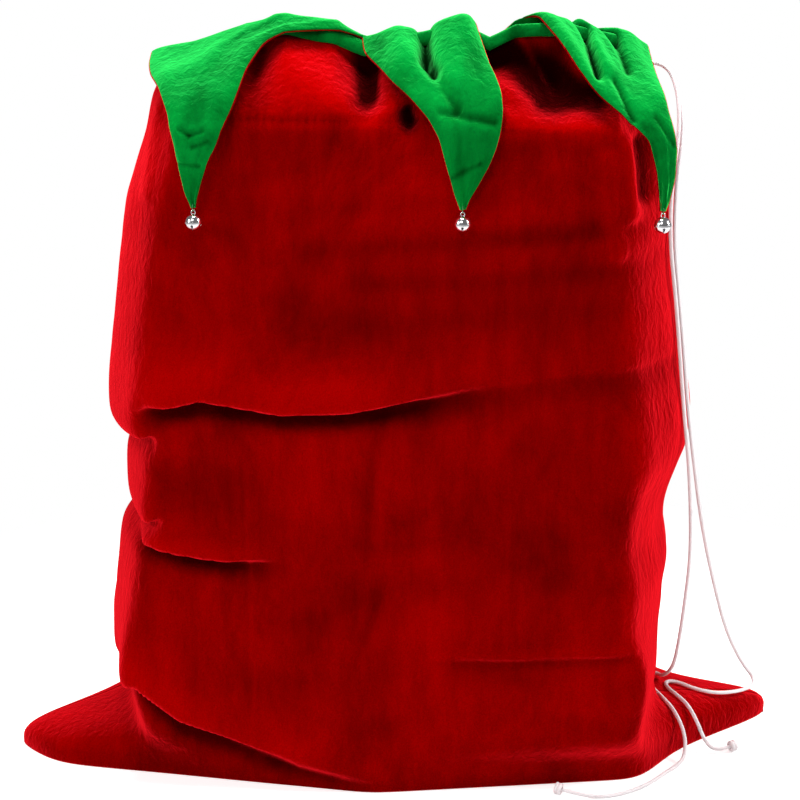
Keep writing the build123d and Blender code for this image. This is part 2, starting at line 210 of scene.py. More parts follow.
def grid_piece(name, points, closed=False, inside=False, painted_shading_field=None):
    """A mesh over a grid of points (rows, columns, 3), with a UV map of metres along each way and, as the
    attribute "crease", how far each point lies in a hollow (towards -1) or on a ridge (towards 1), which the
    velvet paints as shade in hollows and as highlight on ridges."""
    rows, columns = points.shape[:2]
    index = np.arange(rows * columns).reshape(rows, columns)
    right = np.roll(index, -1, axis=1) if closed else index[:, 1:]
    left = index if closed else index[:, :-1]
    quads = np.stack([left[:-1], right[:-1], right[1:], left[1:]], axis=-1).reshape(-1, 4)
    if inside:
        quads = quads[:, ::-1]
    mesh = bpy.data.meshes.new(name)
    mesh.from_pydata(points.reshape(-1, 3), [], quads.tolist())
    mesh.polygons.foreach_set("use_smooth", np.ones(len(quads), dtype=bool))
    across = np.cumsum(np.linalg.norm(np.diff(points, axis=1, prepend=points[:, :1]), axis=2), axis=1)
    along = np.cumsum(np.linalg.norm(np.diff(points, axis=0, prepend=points[:1]), axis=2), axis=0)
    lengths = np.stack([across, along], axis=-1).reshape(-1, 2)
    corner = np.empty(len(mesh.loops), dtype=np.int32)
    mesh.loops.foreach_get("vertex_index", corner)
    uv_map = mesh.uv_layers.new(name="cloth")
    uv_map.data.foreach_set("uv", lengths[corner].ravel())
    if painted_shading_field is not None:
        mesh.attributes.new("crease", "FLOAT", "POINT").data.foreach_set("value", painted_shading_field.ravel())
    mesh.update()
    thing = bpy.data.objects.new(name, mesh)
    scene.collection.objects.link(thing)
    return thing


COLUMNS = 400
body_levels = np.concatenate([np.linspace(0.0, 56.0, 22), np.linspace(59.0, 752.0, 200)])
ROWS = len(body_levels)
level = body_levels[:, None]

# Half widths at the two silhouettes and half depth, by height. The left side has three slumped lobes.
left_half = np.interp(
    body_levels,
    [0, 60, 105, 160, 205, 250, 262, 284, 306, 339, 366, 382, 414, 489, 562, 603, 640, 663, 693, 728, 752],
    [255, 288, 303, 305, 300, 296, 288, 273, 283, 289, 284, 297, 301, 296, 285, 279, 268, 261, 255, 248, 246],
)
right_half = np.interp(
    body_levels,
    [0, 60, 103, 187, 217, 257, 276, 320, 342, 385, 491, 563, 594, 640, 665, 700, 730, 752],
    [255, 272, 278, 283, 287, 279, 280, 295, 304, 302, 289, 281, 281, 278, 274, 263, 254, 248],
)
half_depth = np.interp(
    body_levels,
    [0, 40, 100, 250, 400, 560, 640, 675, 690, 705, 720, 735, 745, 752],
    [126, 142, 146, 141, 138, 130, 124, 120, 115, 102, 82, 60, 46, 38],
)
corner_share = np.interp(
    body_levels,
    [0, 130, 165, 470, 640, 700, 752],
    [0.94, 0.93, 0.85, 0.79, 0.80, 0.80, 0.80],
)
left_corner_share = np.interp(body_levels, [0, 130, 640, 700, 752], [0.93, 0.88, 0.82, 0.80, 0.80])
corner_depth = half_depth * np.interp(body_levels, [0, 690, 752], [1.0, 1.0, 0.72])
crown = np.interp(body_levels, [0, 60, 400, 640, 700, 752], [26, 10, 7, 6, 3, 0])

# The outline of each level has twelve corners: the side seams, two beside each seam, the four box corners,
# and the middles of the front and back. Each has its fixed share of the way round.
corner_places = np.array([0.0, 0.035, 0.08, 0.24, 0.42, 0.465, 0.5, 0.535, 0.58, 0.75, 0.92, 0.965, 1.0])
body_x = np.stack(
    [
        -left_half,
        -0.97 * left_half,
        -left_corner_share * left_half,
        np.full(ROWS, -20.0),
        corner_share * right_half,
        0.965 * right_half,
        right_half,
        0.97 * right_half,
        corner_share * right_half,
        np.full(ROWS, 10.0),
        -left_corner_share * left_half,
        -0.97 * left_half,
    ],
    axis=1,
)
body_y = np.stack(
    [
        np.zeros(ROWS),
        -0.45 * half_depth,
        -corner_depth,
        -half_depth - crown,
        -corner_depth,
        -0.45 * half_depth,
        np.zeros(ROWS),
        0.45 * half_depth,
        corner_depth,
        half_depth + crown,
        corner_depth,
        0.45 * half_depth,
    ],
    axis=1,
)
ear_x = np.array([-422.0, -362.0, -247.0, -22.0, 256.0, 306.0, 432.0, 322.0, 262.0, 10.0, -250.0, -348.0])
ear_y = np.array([-48.0, -108.0, -124.0, -160.0, -112.0, -30.0, 78.0, 104.0, 142.0, 156.0, 134.0, -18.0])
ear_share = np.interp(
    body_levels,
    [0, 8, 16, 24, 31, 40, 50, 62],
    [0.985, 1.0, 0.99, 0.93, 0.78, 0.42, 0.12, 0.0],
)[:, None]
ring_x = body_x * (1 - ear_share) + ear_x * ear_share
ring_y = body_y * (1 - ear_share) + ear_y * ear_share
way = np.arange(COLUMNS) / COLUMNS
ring_x = np.stack([np.interp(way, corner_places, np.append(r, r[0])) for r in ring_x])
ring_y = np.stack([np.interp(way, corner_places, np.append(r, r[0])) for r in ring_y])
ring_x = blur(blur(ring_x, 4.0, 1, "wrap"), 2.2, 0, "edge")
ring_y = blur(blur(ring_y, 4.0, 1, "wrap"), 2.2, 0, "edge")

tangent_x = blur(np.roll(ring_x, -1, 1) - np.roll(ring_x, 1, 1), 3.0, 1, "wrap")
tangent_y = blur(np.roll(ring_y, -1, 1) - np.roll(ring_y, 1, 1), 3.0, 1, "wrap")
tangent = np.hypot(tangent_x, tangent_y)
out_x = tangent_y / tangent
out_y = -tangent_x / tangent


def slump(line, height, depth, droop, weight):
    """A fold where the cloth above a line has slid down over the cloth below it: it stands out just above the
    line, hangs down over it, and is drawn in just below it. The line is where the fold's edge lies once it
    has slid down by its droop. Returns how far out and how far down each point moves."""
    above = level - (line + droop)
    lip = np.where(above > 0, bell(above, 0, 0.9 * height), bell(above, 0, 0.18 * height))
    out = depth * (lip - 0.8 * bell(above, -0.42 * height, 0.34 * height))
    down = droop * np.where(above > 0, bell(above, 0, 0.8 * height), bell(above, 0, 0.2 * height))
    return out * weight, down * weight


def crease(line, width, depth, weight):
    """A thin line pressed into the cloth, with a low ridge beside it, across a field of signed distances."""
    return depth * weight * (bell(line, 0.8 * width, width) - bell(line, -0.8 * width, width))


front = step(-out_y, 0.2, 0.7)
x = ring_x
push = np.zeros((ROWS, COLUMNS))
drop = np.zeros((ROWS, COLUMNS))
first_fold = np.interp(
    x,
    [-300, -250, -190, -110, -40, 50, 120, 182, 260],
    [376, 398, 414, 402, 405, 416, 427, 436, 440],
)
second_fold = np.interp(x, [-300, -255, -215, -164, -110, 0], [284, 262, 253, 246, 244, 244])
third_fold = np.interp(x, [-300, -259, -219, -147, -96, -20, 60], [150, 106, 74, 42, 20, 4, 0])
fourth_fold = np.interp(x, [40, 120, 260], [147, 146, 152])
behind = step(out_y, 0.2, 0.7)
facing_left = step(-out_x, 0.3, 0.8) * step(-ring_y, -10, 30)
folds = [
    slump(first_fold, 46.0, 17.0, 15.0, front * (1 - 0.85 * step(x, -60, 110)) * step(x, -275, -215)),
    slump(second_fold, 34.0, 12.0, 9.0, front * (1 - step(x, -190, -90))),
    slump(third_fold, 50.0, 13.0, 12.0, front * (1 - step(x, -110, 30))),
    slump(340.0 + 0.05 * x + 8.0 * np.sin(x / 70.0), 42.0, 9.0, 9.0, behind * step(x, -240, -60)),
    slump(150.0 - 0.12 * x, 46.0, 8.0, 9.0, behind * (1 - step(x, 20, 190))),
    slump(368.0, 40.0, 7.0, 14.0, facing_left),
    slump(284.0, 34.0, 8.0, 16.0, facing_left),
    slump(118.0, 44.0, 5.0, 10.0, facing_left),
]
for out, down in folds:
    push += out
    drop += down

# The long crease pressed in while the sack was stored folded, and the slanting ones across the front.
stored_band = front * step(level, 30, 60) * (1 - step(level, 400, 430))
push += crease(x + 145.0 + 0.02 * (level - 220), 3.0, 0.9, stored_band)
push += crease(level - fourth_fold, 5.0, 2.4, front * step(x, 20, 90) * (1 - step(x, 225, 260)))
slanting = (x + 15.0) * 0.99 - (level - 300.0) * 0.145 + 5.0 * np.sin(level / 45.0)
push += crease(slanting, 7.0, 2.6, front * bell(level, 315, 85))
curved = (x + 40.0) - 34.0 * np.sin((level - 120.0) / 75.0)
push += crease(curved, 8.0, 2.4, front * bell(level, 190, 45))
waves = level - 575.0 - 0.10 * x + 7.0 * noise(ROWS, COLUMNS, 12, 30, 3)
band = front * bell(level, 565, 50) * step(x, -150, 20)
push += 2.6 * np.sin(waves / 6.5) * band * (0.4 + 0.6 * noise(ROWS, COLUMNS, 9, 26, 4))

# Soft unevenness everywhere, upright folds on the sides, and gathers that deepen up to the mouth.
push += 4.2 * noise(ROWS, COLUMNS, 13, 13, 11)
push += 2.4 * noise(ROWS, COLUMNS, 5, 14, 12)
push += 1.5 * noise(ROWS, COLUMNS, 3, 5, 13)
side = step(np.abs(out_x), 0.5, 0.85)
push += 3.0 * side * noise(ROWS, COLUMNS, 34, 3.2, 14)
push += 2.0 * side * step(level, 560, 640) * noise(ROWS, COLUMNS, 20, 2.2, 17)
gather = step(level, 640, 752)
pleats = noise(ROWS, COLUMNS, 60, 2.4, 15) + 0.8 * noise(ROWS, COLUMNS, 45, 5.0, 16)
push += gather * (9.0 * pleats - 5.0)

# Deep folds that the drawstring makes between the collar points: (start, end, width, how far out).
# Besides moving the cloth, each fold adds to a field of painted shade in its groove and painted highlight where
# it stands out.
fold_painted_shading = np.zeros((ROWS, COLUMNS))
for start, end, width, height in (
    ((-31, 752), (-28, 704), 14, -24),
    ((-110, 736), (-22, 690), 17, 9),
    ((12, 692), (15, 684), 7, -17),
    ((-8, 720), (6, 700), 8, 6),
    ((98, 748), (150, 709), 20, -24),
    ((150, 709), (196, 701), 15, -20),
    ((118, 752), (150, 704), 5, 8),
    ((92, 720), (130, 700), 5, 5),
    ((106, 684), (209, 686), 13, 8),
    ((238, 662), (243, 614), 10, -9),
    ((224, 664), (229, 596), 8, 7),
    ((206, 652), (214, 560), 9, 4),
    ((-236, 690), (-244, 610), 8, 5),
):
    fold = height * front * groove(x, level, start, end, width)
    push += fold
    fold_painted_shading += fold / 26.0

# The row of stitches that closes the casing draws the cloth in and puckers it.
stitch_row = level - 685.0
push += front * (-1.6 * bell(stitch_row, 0, 3.5) + 0.8 * bell(stitch_row, 0, 9) * np.sin(x / 1.3))
# The side seams: the two panels are drawn in along a narrow line.
seam_cells = COLUMNS * np.minimum(np.minimum(way, 1 - way), np.abs(way - 0.5))
push -= 2.4 * bell(seam_cells, 0, 1.1) * step(level, 40, 80)
push *= step(level, -4, 24)


def hollows(field, tall, wide, mode):
    """How far each point lies in a hollow or on a ridge: the field less its average around, from -1 to 1."""
    around = blur(blur(field, tall, 0, "edge"), wide, 1, mode)
    return np.clip((field - around) / 9.0, -1.0, 1.0)


# How far each point of the body lies in a hollow or on a ridge, which the velvet paints as shade and highlight.
broad_hollows = hollows(push, 12, 11, "wrap")
fine_hollows = hollows(push, 4, 4, "wrap")
body_painted_shading = np.clip(fold_painted_shading + 0.4 * broad_hollows + 0.25 * fine_hollows, -1, 1)


def rim_lift(x, y):
    """How far the mouth stands above its usual height, by place, in millimetres: the drawstring has pulled the
    front up in soft humps between the valleys, and the back sits lower."""
    humps = np.interp(
        x,
        [-255, -205, -150, -110, -60, -32, 0, 45, 70, 90, 115, 165, 215, 255],
        [-30, -20, 0, 7, 0, -12, -6, 3, 3, -6, 8, 8, -4, -24],
    )
    return humps * step(-y, -20, 15) + (0.5 * humps - 22.0) * (1 - step(-y, -20, 15))


surface_x = ring_x + out_x * push
surface_y = ring_y + out_y * push
lift = rim_lift(surface_x, surface_y) * step(level, 690, 752)
surface_z = np.maximum(level - drop * step(level, 30, 90) + lift, 0.6)

# The neck stays outside the casing and the cord in it.
casing_y = np.interp(surface_x, [-250, -32, 100, 250], [26, 45, 45, 26])
casing_y = casing_y * step(level, 698, 716) * step(250 - np.abs(surface_x), 0, 20)
surface_y = np.where(ring_y < 0, np.minimum(surface_y, -casing_y), np.maximum(surface_y, casing_y))
sack_points = np.stack([surface_x, surface_y, surface_z], axis=-1) * MM

seam = COLUMNS // 2
base_shares = np.linspace(0.0, 1.0, 12)[:-1, None, None] ** 0.8
middle_y = np.interp(sack_points[0, :, 0] / MM, [-424, -262, 262, 434], [-48, 0, 0, 78])[None, :, None] * MM


def velvet_tree():
    """Brushed pile: broad patches where it lies one way or the other, streaks where it was stroked, and the
    grain of the pile itself. Puts out a colour between the two given ones, moved towards the raised one on
    ridges as painted highlight and darkened in hollows as painted shade, and a height."""
    group = bpy.data.node_groups.new("velvet_pile", "ShaderNodeTree")
    face = group.interface
    for label in ("Laid", "Raised"):
        face.new_socket(label, in_out="INPUT", socket_type="NodeSocketColor")
    for label in ("Patch size", "Streaks", "Contrast", "Painted shading"):
        face.new_socket(label, in_out="INPUT", socket_type="NodeSocketFloat")
    face.new_socket("Color", in_out="OUTPUT", socket_type="NodeSocketColor")
    face.new_socket("Height", in_out="OUTPUT", socket_type="NodeSocketFloat")
    nodes, links = group.nodes, group.links
    given = nodes.new("NodeGroupInput")
    result = nodes.new("NodeGroupOutput")
    place = nodes.new("ShaderNodeTexCoord")

    def noise_node(scale, stretch, detail, rough, distortion=0.0):
        turn = nodes.new("ShaderNodeMapping")
        turn.inputs["Scale"].default_value = stretch
        texture = nodes.new("ShaderNodeTexNoise")
        texture.inputs["Scale"].default_value = scale
        texture.inputs["Detail"].default_value = detail
        texture.inputs["Roughness"].default_value = rough
        texture.inputs["Distortion"].default_value = distortion
        links.new(place.outputs["Object"], turn.inputs["Vector"])
        links.new(turn.outputs["Vector"], texture.inputs["Vector"])
        return texture

    patches = noise_node(9.0, (1.0, 1.0, 0.8), 5.0, 0.62, 0.6)
    links.new(given.outputs["Patch size"], patches.inputs["Scale"])
    streaks = noise_node(38.0, (1.0, 1.0, 0.22), 3.0, 0.7, 0.3)
    crush = noise_node(130.0, (1.0, 1.0, 0.55), 2.0, 0.55, 0.5)
    grain = noise_node(1100.0, (1.0, 1.0, 0.6), 2.0, 0.5)
    blend_streaks = nodes.new("ShaderNodeMix")
    links.new(given.outputs["Streaks"], blend_streaks.inputs["Factor"])
    links.new(patches.outputs["Fac"], blend_streaks.inputs["A"])
    links.new(streaks.outputs["Fac"], blend_streaks.inputs["B"])
    sharpen = nodes.new("ShaderNodeMath")
    sharpen.operation = "SUBTRACT"
    sharpen.inputs[1].default_value = 0.5
    links.new(blend_streaks.outputs["Result"], sharpen.inputs[0])
    gain = nodes.new("ShaderNodeMath")
    gain.operation = "MULTIPLY_ADD"
    gain.inputs[2].default_value = 0.5
    gain.use_clamp = True
    links.new(sharpen.outputs[0], gain.inputs[0])
    links.new(given.outputs["Contrast"], gain.inputs[1])
    # Painted highlight and shade: ridges move towards the raised colour, hollows towards the laid one.
    ridge = nodes.new("ShaderNodeMath")
    ridge.operation = "MULTIPLY_ADD"
    ridge.inputs[1].default_value = 0.75
    ridge.use_clamp = True
    links.new(given.outputs["Painted shading"], ridge.inputs[0])
    links.new(gain.outputs[0], ridge.inputs[2])
    colour = nodes.new("ShaderNodeMix")
    colour.data_type = "RGBA"
    links.new(ridge.outputs[0], colour.inputs["Factor"])
    links.new(given.outputs["Laid"], colour.inputs["A"])
    links.new(given.outputs["Raised"], colour.inputs["B"])
    fibres = nodes.new("ShaderNodeMix")
    fibres.data_type = "RGBA"
    fibres.blend_type = "MULTIPLY"
    fibres.inputs["Factor"].default_value = 0.4
    links.new(colour.outputs["Result"], fibres.inputs["A"])
    links.new(grain.outputs["Color"], fibres.inputs["B"])
    # Painted shade: the colour darkens to a tenth in the deepest hollows.
    shade = nodes.new("ShaderNodeMapRange")
    shade.inputs["From Min"].default_value = -1.0
    shade.inputs["From Max"].default_value = 0.0
    shade.inputs["To Min"].default_value = 0.10
    shade.inputs["To Max"].default_value = 1.0
    links.new(given.outputs["Painted shading"], shade.inputs["Value"])
    shaded = nodes.new("ShaderNodeMix")
    shaded.data_type = "RGBA"
    shaded.blend_type = "MULTIPLY"
    shaded.inputs["Factor"].default_value = 1.0
    links.new(fibres.outputs["Result"], shaded.inputs["A"])
    links.new(shade.outputs["Result"], shaded.inputs["B"])
    links.new(shaded.outputs["Result"], result.inputs["Color"])
    height = nodes.new("ShaderNodeMath")
    height.operation = "MULTIPLY_ADD"
    height.inputs[1].default_value = 0.12
    links.new(grain.outputs["Fac"], height.inputs[0])
    links.new(crush.outputs["Fac"], height.inputs[2])
    links.new(height.outputs[0], result.inputs["Height"])
    return group


velvet_pile = velvet_tree()


def velvet(name, laid, raised, edge, glow, patch_size, streaks, contrast, sheen):
    """A velvet of the pile's colour with painted sheen: its colour turns to the brighter edge colour where the
    cloth turns away from view, and painted shade keeps the hollows darker and without that painted sheen."""
    paint = bpy.data.materials.new(name)
    paint.use_nodes = True
    nodes, links = paint.node_tree.nodes, paint.node_tree.links
    surface = nodes["Principled BSDF"]
    pile = nodes.new("ShaderNodeGroup")
    pile.node_tree = velvet_pile
    pile.inputs["Laid"].default_value = (*laid, 1.0)
    pile.inputs["Raised"].default_value = (*raised, 1.0)
    pile.inputs["Patch size"].default_value = patch_size
    pile.inputs["Streaks"].default_value = streaks
    pile.inputs["Contrast"].default_value = contrast
    bump = nodes.new("ShaderNodeBump")
    bump.inputs["Strength"].default_value = 0.6
    bump.inputs["Distance"].default_value = 0.0028
    painted_shading_value = nodes.new("ShaderNodeAttribute")
    painted_shading_value.attribute_name = "crease"
    links.new(painted_shading_value.outputs["Fac"], pile.inputs["Painted shading"])
    links.new(pile.outputs["Height"], bump.inputs["Height"])
    # Painted sheen: the colour turns to the bright edge colour where the cloth turns away from view.
    facing = nodes.new("ShaderNodeLayerWeight")
    facing.inputs["Blend"].default_value = 0.5
    links.new(bump.outputs["Normal"], facing.inputs["Normal"])
    painted_sheen_ramp = nodes.new("ShaderNodeMapRange")
    painted_sheen_ramp.interpolation_type = "SMOOTHSTEP"
    painted_sheen_ramp.inputs["From Min"].default_value = 0.22
    painted_sheen_ramp.inputs["From Max"].default_value = 0.95
    painted_sheen_ramp.inputs["To Max"].default_value = 0.9
    links.new(facing.outputs["Facing"], painted_sheen_ramp.inputs["Value"])
    # Painted shade: hollows get none of the painted sheen.
    hidden = nodes.new("ShaderNodeMath")
    hidden.operation = "ADD"
    hidden.inputs[1].default_value = 1.0
    hidden.use_clamp = True
    links.new(painted_shading_value.outputs["Fac"], hidden.inputs[0])
    painted_sheen_amount = nodes.new("ShaderNodeMath")
    painted_sheen_amount.operation = "MULTIPLY"
    links.new(painted_sheen_ramp.outputs["Result"], painted_sheen_amount.inputs[0])
    links.new(hidden.outputs[0], painted_sheen_amount.inputs[1])
    colour = nodes.new("ShaderNodeMix")
    colour.data_type = "RGBA"
    colour.inputs["B"].default_value = (*edge, 1.0)
    links.new(painted_sheen_amount.outputs[0], colour.inputs["Factor"])
    links.new(pile.outputs["Color"], colour.inputs["A"])
    links.new(colour.outputs["Result"], surface.inputs["Base Color"])
    links.new(bump.outputs["Normal"], surface.inputs["Normal"])
    surface.inputs["Roughness"].default_value = 0.7
    surface.inputs["Specular IOR Level"].default_value = 0.0
    surface.inputs["Sheen Weight"].default_value = sheen
    surface.inputs["Sheen Roughness"].default_value = 0.38
    surface.inputs["Sheen Tint"].default_value = (*glow, 1.0)
    return paint


velvet_red = velvet(
    "velvet_red",
    laid=(0.13, 0.0, 0.0),
    raised=(0.44, 0.0, 0.0),
    # The bright red painted in as sheen where the cloth turns away.
    edge=(0.85, 0.008, 0.016),
    glow=(1.0, 0.02, 0.03),
    patch_size=7.0,
    streaks=0.35,
    contrast=2.4,
    sheen=0.5,
)
panels = []
for name, columns, node in (
    ("front_velvet", np.arange(0, seam + 1), "front_panel"),
    ("back_velvet", np.arange(seam, COLUMNS + 1) % COLUMNS, "back_panel"),
):
    wall = sack_points[:, columns]
    base = np.repeat(wall[:1], len(base_shares), axis=0)
    base[..., 1:2] = middle_y[:, columns] + (base[..., 1:2] - middle_y[:, columns]) * base_shares
    # The body's painted shade and highlight; the base gets none.
    wall_painted_shading = body_painted_shading[:, columns]
    base_painted_shading = np.zeros((len(base), len(columns)))
    panel = grid_piece(
        name,
        np.concatenate([base, wall]),
        painted_shading_field=np.concatenate([base_painted_shading, wall_painted_shading]),
    )
    thickness = panel.modifiers.new("cloth", "SOLIDIFY")
    thickness.thickness = 1.4 * MM
    thickness.offset = -1.0
    panel.data.materials.append(velvet_red)
    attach(panel, "sack")
    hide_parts(node)
    panels.append(panel)

# ---- collar ----
# A band of green velvet folded over the mouth. It is sewn inside the neck, rolls over the edge in soft humps,
# and carries three points in front and three behind.
velvet_green = velvet(
    "velvet_green",
    laid=(0.0, 0.08, 0.008),
    raised=(0.001, 0.33, 0.04),
    # The bright green painted in as sheen where the cloth turns away.
    edge=(0.02, 0.56, 0.09),
    glow=(0.1, 1.0, 0.2),
    patch_size=14.0,
    streaks=0.3,
    contrast=2.4,
    sheen=0.4,
)
joints = {joint["name"]: joint for joint in frame["record"]["behaviour"]["joints"]}
hinge_level = joints["petal_front_left_fold"]["pos_m"][2] / MM
hinge_out = 5.5
neck_corner_x = np.array([-241.0, -32.5, 100.5, 241.0, 241.0, 100.5, -32.5, -241.0, -241.0])
neck_corner_y = np.array([-22.0, -42.0, -42.0, -22.0, 22.0, 42.0, 42.0, 22.0, -22.0])
corner_steps = np.hypot(np.diff(neck_corner_x), np.diff(neck_corner_y))
corner_way = np.concatenate([[0.0], np.cumsum(corner_steps)])


def neck_ring(count):
    """Points round the neck, evenly spaced, with the corners rounded, and the outward direction at each."""
    ways = np.arange(count) / count * corner_way[-1]
    cells = 10.0 * count / corner_way[-1]
    x = blur(np.interp(ways, corner_way, neck_corner_x), cells, 0, "wrap")
    y = blur(np.interp(ways, corner_way, neck_corner_y), cells, 0, "wrap")
    along_x = np.roll(x, -1) - np.roll(x, 1)
    along_y = np.roll(y, -1) - np.roll(y, 1)
    length = np.hypot(along_x, along_y)
    return x, y, along_y / length, -along_x / length


BAND_COLUMNS = 560
neck_x, neck_y, neck_out_x, neck_out_y = neck_ring(BAND_COLUMNS)
# The band's profile: up inside the neck, over the roll, and down to its sewn edge outside.
band_out = np.array([-17.0, -17.5, -18.0, -17.5, -15.5, -11.5, -6.5, -2.5, 0.5, 2.0, 2.5, 2.0])
band_up = np.array([-37.0, -24.0, -10.0, 2.0, 9.0, 13.5, 15.5, 14.0, 10.5, 6.5, 3.5, 1.5])
fine = np.linspace(0, len(band_out) - 1, 52)
band_out = blur(np.interp(fine, np.arange(len(band_out)), band_out), 2.0, 0, "edge")[:, None]
band_up = blur(np.interp(fine, np.arange(len(band_up)), band_up), 2.0, 0, "edge")[:, None]
humps = rim_lift(neck_x, neck_y)
ruffle = noise(52, BAND_COLUMNS, 30, 5.0, 31) + 0.7 * noise(52, BAND_COLUMNS, 22, 2.4, 32)
puff = 1.0 + 0.35 * noise(52, BAND_COLUMNS, 40, 16, 33)
roll = step(band_up, -30, 4)
band_reach = band_out * puff + 2.6 * ruffle * roll
band_x = neck_x + neck_out_x * (band_reach + hinge_out * roll)
band_y = neck_y + neck_out_y * (band_reach + hinge_out * roll)
band_z = hinge_level + band_up * (0.75 + 0.25 * puff) + humps * step(band_up, -37, 0) + 1.6 * ruffle * roll
# The ruffles give the collar painted shade in their hollows and painted highlight on their ridges.
collar = grid_piece(
    "collar_roll",
    np.stack([band_x, band_y, band_z], axis=-1) * MM,
    closed=True,
    inside=True,
    painted_shading_field=hollows(3.0 * ruffle, 8, 12, "wrap"),
)
collar.data.materials.append(velvet_green)
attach(collar, "sack")
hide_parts("collar_band")

# ---- casing ----
# Inside the neck, two strips of the red velvet are sewn on, one along the front and one along the back. They
# make the tunnel that the drawstring runs in, and the collar band hides them.
half_ring = BAND_COLUMNS // 2
strip_level = np.linspace(-13.0, 11.0, 15)[:, None]
strip_bulge = -8.5 + 1.6 * np.cos(np.pi * strip_level / 26.0) + 0.8 * noise(15, BAND_COLUMNS, 30, 4.0, 41)
strip_x = neck_x + neck_out_x * strip_bulge
strip_y = neck_y + neck_out_y * strip_bulge
strip_z = 729.0 + 0.93 * strip_level + 0 * strip_bulge
strip_points = np.stack([strip_x, strip_y, strip_z], axis=-1) * MM
for name, columns in (
    ("front", np.arange(0, half_ring + 1)),
    ("back", np.arange(half_ring, BAND_COLUMNS + 1) % BAND_COLUMNS),
):
    strip = grid_piece(f"casing_{name}", strip_points[:, columns], inside=True)
    thickness = strip.modifiers.new("cloth", "SOLIDIFY")
    thickness.thickness = 1.0 * MM
    strip.data.materials.append(velvet_red)
    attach(strip, "sack")
    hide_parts(f"casing_strip_{name}")

# ---- collar points ----
# Each point is two layers sewn together and turned: green velvet outside, red velvet as its lining. It leaves
# the roll, lies over the shoulder and hangs down to a tip with a bell. Edges are given as places along the
# neck from the tip, at depths below the hinge line.
DROP = 144.0
point_edges = {
    "front_left": (
        ([-20, -8, 6, 16, 25, 55, 82, 110, 130, 144], [-67, -64, -56, -48, -41, -25, -17, -12, -8, -2]),
        (
            [-26, -20, -14, -10, -4, 16, 49, 87, 95, 120, 137, 144],
            [168, 150, 115, 82, 55, 43, 36, 22, 17, 8, 3, 2],
        ),
    ),
    "front_middle": (
        ([-20, -6, 8, 24, 40, 58, 75, 101, 132, 144], [-102, -98, -84, -70, -51, -33, -23, -16, -7, -2]),
        ([-20, 0, 20, 35, 52, 69, 85, 101, 120, 135, 144], [8, 19, 29, 35, 37, 35, 31, 25, 15, 6, 2]),
    ),
    "front_right": (
        (
            [-42, -36, -28, -20, -1, 10, 21, 37, 52, 77, 105, 133, 144],
            [-146, -136, -116, -106, -90, -82, -74, -58, -40, -15, -7, -3, -2],
        ),
        ([-20, 10, 31, 53, 86, 114, 138, 144], [3, 2, 3, 5, 11, 10, 5, 2]),
    ),
}
even_depths = [-20, -8, 24, 58, 75, 101, 132, 144]
even_shares = np.array([1.0, 0.95, 0.68, 0.36, 0.26, 0.17, 0.07, 0.02])
for name, before, after in (("back_right", 27, 117), ("back_middle", 63, 63), ("back_left", 145, 67)):
    point_edges[name] = ((even_depths, -before * even_shares), (even_depths, after * even_shares))

# Folds in the three front points, as (start, end, width, how far out) in the same places and depths.
point_folds = {
    "front_left": (
        ((38, -30), (88, -31), 5, -7),
        ((-35, 11), (3, -1), 12, 4),
        ((60, -22), (120, -24), 7, 4),
        ((-12, 70), (-2, 75), 2.4, -2.2),
        ((-2, 75), (11, 71), 2.4, -2.2),
        ((1, 86), (16, 80), 2.4, -2.2),
        ((-13, 101), (7, 104), 2.4, -2.2),
    ),
    "front_middle": (
        ((-43, -36), (-38, 7), 6.5, -14),
        ((-38, 7), (-30, 18), 6, -12),
        ((-30, 18), (-6, 50), 6, -5),
        ((-22, 53), (29, 62), 4, -3),
        ((-68, -30), (-62, 5), 15, 6),
        ((-12, -36), (-8, 22), 18, 8),
        ((-11, 114), (16, 100), 3, -2.2),
    ),
    "front_right": (
        ((-92, -37), (-75, -28), 5, -10),
        ((-75, -28), (-61, -13), 5, -11),
        ((-61, -13), (-58, 19), 5, -11),
        ((-52, -30), (-32, -13), 5, -9),
        ((-32, -13), (-27, 12), 5, -6),
        ((-42, 25), (-30, 58), 3.5, -4),
        ((-9, 58), (7, 81), 3.5, -3),
        ((-70, -32), (-47, 12), 7, 5),
        ((-20, -28), (0, 30), 13, 5),
        ((-112, -32), (-72, 20), 11, 3),
    ),
}

ROLL_ROWS = 14
HANG_ROWS = 78
ACROSS = 74
ROLL_TOP = -18.0
ROLL_START = -1.75
ROLL_END = 0.42


def drape(depth, reach):
    """How far out the cloth hangs at each depth: off the roll, over the shoulder and then nearly straight
    down."""
    share = np.clip((depth + 18.0) / 96.0, 0.0, 1.0)
    return -5.0 + (reach + 5.0) * (1.0 - (1.0 - share) ** 1.7)


